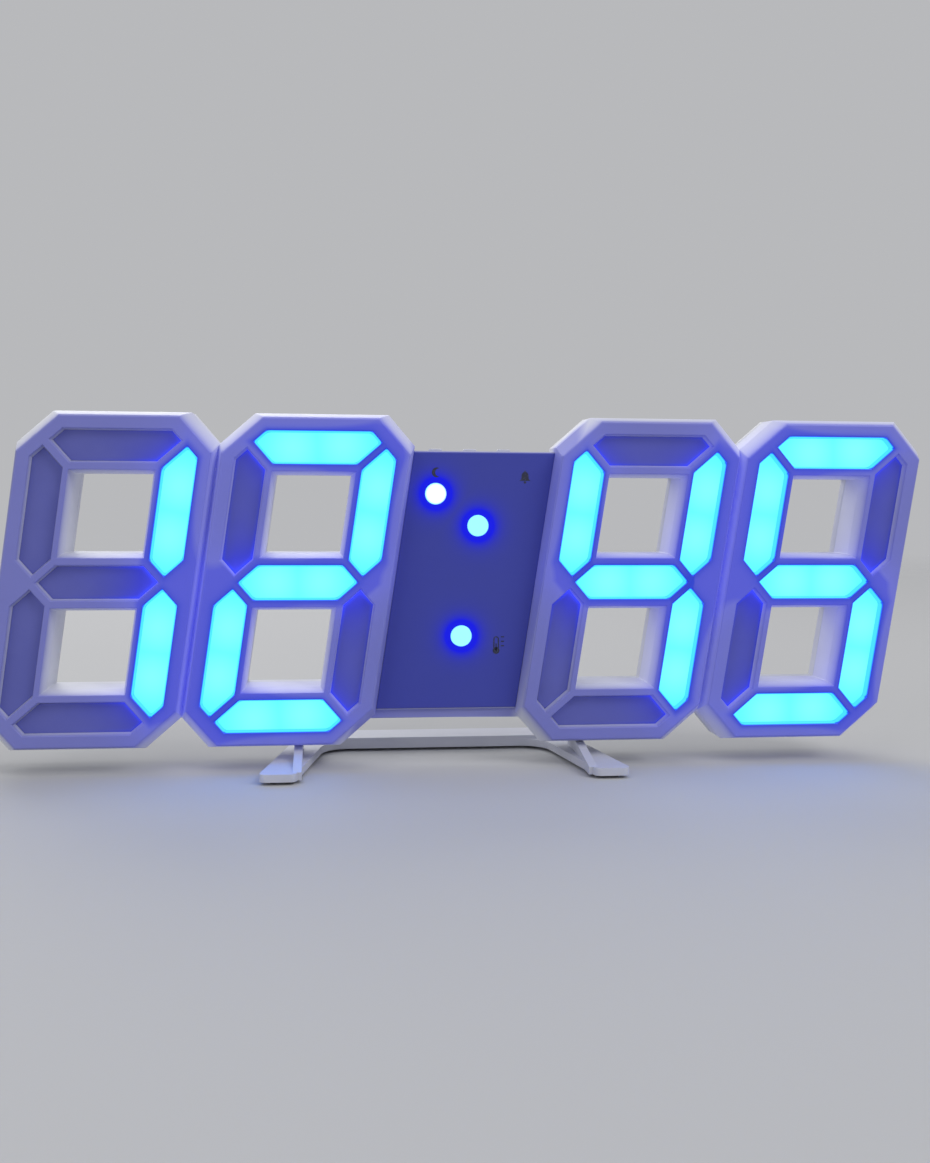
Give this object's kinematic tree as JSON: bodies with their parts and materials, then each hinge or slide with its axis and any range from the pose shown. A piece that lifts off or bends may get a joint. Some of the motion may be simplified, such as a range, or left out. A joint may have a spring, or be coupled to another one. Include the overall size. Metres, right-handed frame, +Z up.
{
  "type": "digital desk clock",
  "caption": "Slanted see-through seven-segment desk clock with glowing digits, a recessed centre panel with dot lamps, top push buttons and a splayed plug-in stand.",
  "frame": {"origin": "centre of the bounding box on the table that the stand's pads rest on", "axes": "+X to the viewer's right along the row of digits, +Y to the back, +Z up"},
  "size_m": [0.2496, 0.0488, 0.0928],
  "materials": {
    "case_white": "fine satin moulding",
    "panel_white": "smooth satin moulding",
    "stand_white": "fine satin moulding",
    "button_white": "smooth satin moulding",
    "diffuser_dark": "milky, unlit",
    "diffuser_lit": "milky, lit from behind",
    "dot_lit": "clear dome, lit from behind",
    "board_green": "solder mask",
    "lamp_yellow": "phosphor resin",
    "screw_steel": "plated",
    "cell_steel": "bright",
    "ribbon_grey": "flat lead",
    "switch_black": "moulded",
    "pad_rubber": "soft grip"
  },
  "bodies": {
    "stand": {"stand": "stand_white", "stand_pads": "pad_rubber"},
    "clock": {"front_shell": "case_white", "rear_cover": "case_white", "centre_panel": "panel_white", "segment_leds": "lamp_yellow", "dot_leds": "lamp_yellow", "cover_screws": "screw_steel", "board_screws": "screw_steel", "ribbon_jumpers": "ribbon_grey", "tact_switches": "switch_black", "coin_cell_holder": "switch_black", "coin_cell": "cell_steel", "power_socket": "cell_steel", "buzzer": "switch_black", "driver_chip": "switch_black", "crystal": "cell_steel", "temperature_sensor": "switch_black", "digit1_segment_a": "diffuser_dark", "digit1_segment_b": "diffuser_lit", "digit1_segment_c": "diffuser_lit", "digit1_segment_d": "diffuser_dark", "digit1_segment_e": "diffuser_dark", "digit1_segment_f": "diffuser_dark", "digit1_segment_g": "diffuser_dark", "digit2_segment_a": "diffuser_lit", "digit2_segment_b": "diffuser_lit", "digit2_segment_c": "diffuser_dark", "digit2_segment_d": "diffuser_lit", "digit2_segment_e": "diffuser_lit", "digit2_segment_f": "diffuser_dark", "digit2_segment_g": "diffuser_lit", "digit3_segment_a": "diffuser_dark", "digit3_segment_b": "diffuser_lit", "digit3_segment_c": "diffuser_lit", "digit3_segment_d": "diffuser_dark", "digit3_segment_e": "diffuser_dark", "digit3_segment_f": "diffuser_lit", "digit3_segment_g": "diffuser_lit", "digit4_segment_a": "diffuser_lit", "digit4_segment_b": "diffuser_dark", "digit4_segment_c": "diffuser_lit", "digit4_segment_d": "diffuser_lit", "digit4_segment_e": "diffuser_dark", "digit4_segment_f": "diffuser_lit", "digit4_segment_g": "diffuser_lit", "pm_dot_lens": "dot_lit", "upper_dot_lens": "dot_lit", "lower_dot_lens": "dot_lit", "digit1_board": "board_green", "digit2_board": "board_green", "digit3_board": "board_green", "digit4_board": "board_green", "main_board": "board_green"},
    "mode_button": {"mode_button": "button_white"},
    "up_button": {"up_button": "button_white"},
    "down_button": {"down_button": "button_white"},
    "battery_cap": {"battery_cap": "case_white"}
  },
  "joints": [
    {"name": "stand_plug", "type": "slide", "parent": "stand", "child": "clock", "axis": [0, 0, 1], "range_m": [0, 0.007]},
    {"name": "mode_press", "type": "slide", "parent": "clock", "child": "mode_button", "axis": [0, 0, -1], "range_m": [0, 0.0006], "stiffness_N_per_m": 1500},
    {"name": "up_press", "type": "slide", "parent": "clock", "child": "up_button", "axis": [0, 0, -1], "range_m": [0, 0.0006], "stiffness_N_per_m": 1500},
    {"name": "down_press", "type": "slide", "parent": "clock", "child": "down_button", "axis": [0, 0, -1], "range_m": [0, 0.0006], "stiffness_N_per_m": 1500},
    {"name": "battery_cap_turn", "type": "hinge", "parent": "clock", "child": "battery_cap", "pos_m": [-0.00015, 0.00605, 0.0483], "axis": [0, 1, 0], "range_deg": [0, 60]}
  ]
}
